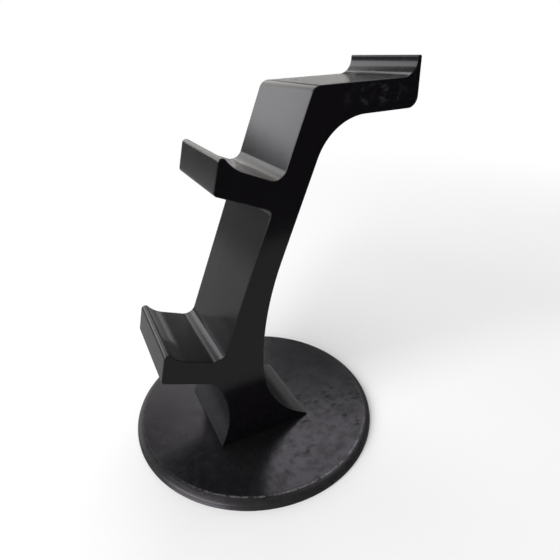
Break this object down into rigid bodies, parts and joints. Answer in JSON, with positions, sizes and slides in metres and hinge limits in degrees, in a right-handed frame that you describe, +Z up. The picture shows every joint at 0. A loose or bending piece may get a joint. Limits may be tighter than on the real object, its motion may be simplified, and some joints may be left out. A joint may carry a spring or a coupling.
{
  "type": "game controller stand",
  "caption": "Desk stand for game controllers: a leaning upright with hooked cradles and a headset arm on a round base disc.",
  "frame": {"origin": "centre of the base disc's underside, on the surface that the stand rests on", "axes": "+Z up; -Y to the front, where the cradles' lips are; +Y to the rear, where the headset arm reaches; X across the upright's width"},
  "size_m": [0.22, 0.2301, 0.3032],
  "materials": {
    "black_disc": "printed plastic, satin with a dusty top",
    "black_upright": "printed plastic, semi-gloss"
  },
  "bodies": {
    "root": {"base_disc": "black_disc", "upright": "black_upright"}
  },
  "joints": []
}
